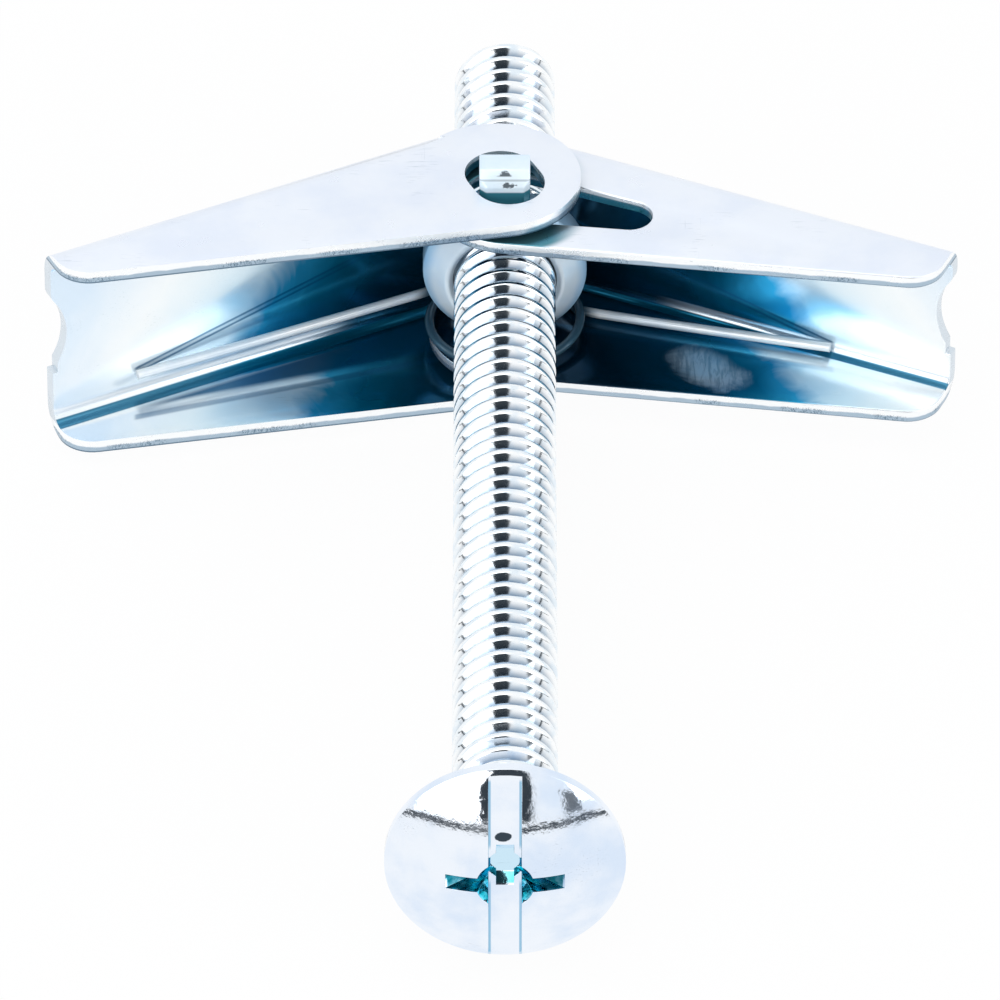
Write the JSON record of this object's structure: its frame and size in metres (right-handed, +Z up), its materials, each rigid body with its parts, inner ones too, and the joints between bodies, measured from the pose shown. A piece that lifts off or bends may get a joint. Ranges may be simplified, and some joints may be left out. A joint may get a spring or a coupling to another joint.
{
  "type": "spring toggle bolt",
  "caption": "Machine screw with a mushroom head and a trunnion nut, on which two sprung folding wings open behind a thin wall or ceiling to hold a fixture.",
  "frame": {"origin": "centre of the flat face under the head, on the screw's axis", "axes": "+Y along the screw from its head to its tip, X across the open wings, +Z up as the part lies on a table, parallel to the nut's two pins"},
  "size_m": [0.0556, 0.0784, 0.0164],
  "materials": {
    "zinc_screw": "bright blue-white zinc plate over a rolled thread",
    "zinc_nut": "bright blue-white zinc plate",
    "zinc_sheet": "smooth blue-white zinc plate, darker and bluer inside the channels",
    "spring_wire": "bright drawn spring wire"
  },
  "bodies": {
    "screw": {"screw": "zinc_screw"},
    "nut": {"trunnion_nut": "zinc_nut", "torsion_spring": "spring_wire"},
    "outer_wing": {"outer_wing": "zinc_sheet"},
    "inner_wing": {"inner_wing": "zinc_sheet"}
  },
  "joints": [
    {"name": "nut_travel", "type": "slide", "parent": "screw", "child": "nut", "axis": [0, 1, 0], "range_m": [-0.025, 0.015]},
    {"name": "outer_wing_fold", "type": "hinge", "parent": "nut", "child": "outer_wing", "pos_m": [0, 0.0561, 0], "axis": [0, 0, 1], "range_deg": [0, 66], "stiffness_Nm_per_rad": 0.02, "springref_deg": -57.3, "deforming": ["torsion_spring"]},
    {"name": "inner_wing_fold", "type": "hinge", "parent": "nut", "child": "inner_wing", "pos_m": [0, 0.0561, 0], "axis": [0, 0, -1], "range_deg": [0, 68], "stiffness_Nm_per_rad": 0.02, "springref_deg": -57.3}
  ]
}
